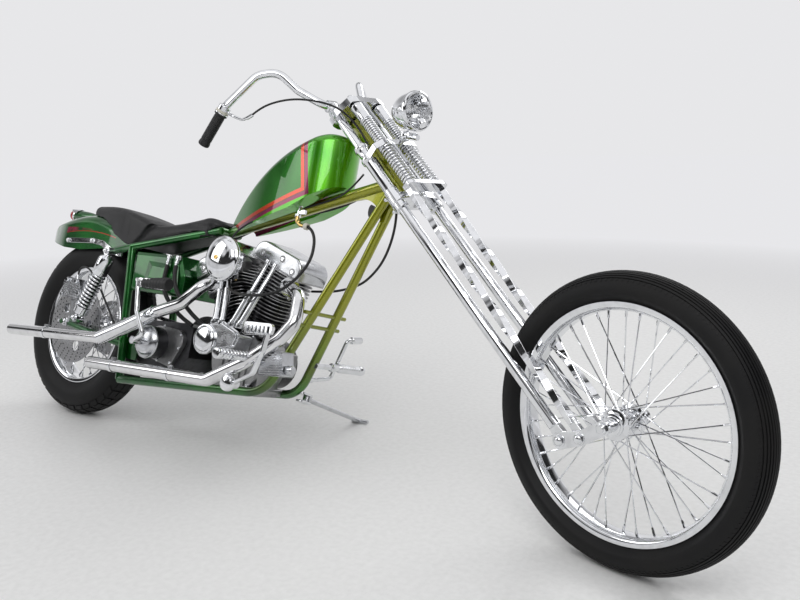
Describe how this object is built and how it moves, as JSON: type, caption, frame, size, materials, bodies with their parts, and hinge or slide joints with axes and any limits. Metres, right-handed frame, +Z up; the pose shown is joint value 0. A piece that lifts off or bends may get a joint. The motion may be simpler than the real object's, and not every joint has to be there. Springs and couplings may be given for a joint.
{
  "type": "chopper motorcycle",
  "caption": "Long chopper with a raked springer fork, wire wheels, open V-twin engine, narrow peaked tank and low seat, parked leaning on its side stand.",
  "frame": {"origin": "on the floor under the middle of the parked machine's bounding box", "axes": "+X forward, +Y to the machine's left, +Z up; the machine leans to its left on its side stand"},
  "size_m": [2.7553, 0.9651, 1.1993],
  "materials": {
    "black": "gloss black",
    "candy_green": "candy lacquer",
    "cast_aluminium": "cast",
    "cast_iron": "heat paint",
    "chrome": "polished",
    "leather": "soft black",
    "polished_aluminium": "polished",
    "rubber": "ribbed rubber",
    "steel": "ground",
    "tyre": "black rubber"
  },
  "bodies": {
    "chassis": {"frame_backbone": "candy_green", "frame_downtubes": "candy_green", "frame_lower_rails": "candy_green", "frame_rear": "candy_green", "swingarm": "candy_green", "shock_right": "chrome", "shock_left": "chrome", "fuel_tank": "candy_green", "oil_tank": "candy_green", "seat": "leather", "rear_fender": "candy_green", "fender_struts": "chrome", "tail_lamp": "chrome", "crankcase": "cast_aluminium", "cylinder_front": "cast_iron", "cylinder_rear": "cast_iron", "rocker_box_front": "polished_aluminium", "rocker_box_rear": "polished_aluminium", "pushrod_tubes": "chrome", "cam_cover": "polished_aluminium", "air_cleaner": "chrome", "carburettor": "cast_aluminium", "primary_case": "black", "gearbox": "cast_aluminium", "kick_lever": "chrome", "drive_chain": "steel", "exhaust_front": "chrome", "exhaust_rear": "chrome", "right_controls": "chrome", "left_controls": "chrome", "rear_caliper": "cast_aluminium", "stand_bracket": "chrome"},
    "fork": {"fork_rigid_legs": "chrome", "fork_trees": "chrome", "fork_rockers": "chrome", "fork_spring_rods": "chrome", "fork_springs": "chrome", "fork_bracket": "chrome", "fork_spring_legs": "chrome", "handlebar": "chrome", "grips": "rubber", "hand_controls": "chrome", "headlamp": "chrome"},
    "front_wheel": {"front_tyre": "tyre", "front_wheel": "chrome"},
    "rear_wheel": {"rear_tyre": "tyre", "rear_wheel": "chrome", "rear_disc": "steel", "rear_sprocket": "steel"},
    "side_stand": {"side_stand": "chrome"}
  },
  "joints": [
    {"name": "steering", "type": "hinge", "parent": "chassis", "child": "fork", "pos_m": [0.30535, -0.02146, 0.84019], "axis": [-0.7314, 0.2153, 0.6471], "range_deg": [-10, 46]},
    {"name": "front_wheel_spin", "type": "hinge", "parent": "fork", "child": "front_wheel", "pos_m": [1.03816, -0.22368, 0.34489], "axis": [0.2107, 0.9738, -0.0858], "continuous": true},
    {"name": "rear_wheel_spin", "type": "hinge", "parent": "chassis", "child": "rear_wheel", "pos_m": [-1.028, -0.19667, 0.3135], "axis": [0, 0.9489, -0.3156], "continuous": true},
    {"name": "side_stand_fold", "type": "hinge", "parent": "chassis", "child": "side_stand", "pos_m": [-0.028, -0.11753, 0.17757], "axis": [-0.0723, 0.4898, 0.8689], "range_deg": [0, 75]}
  ]
}
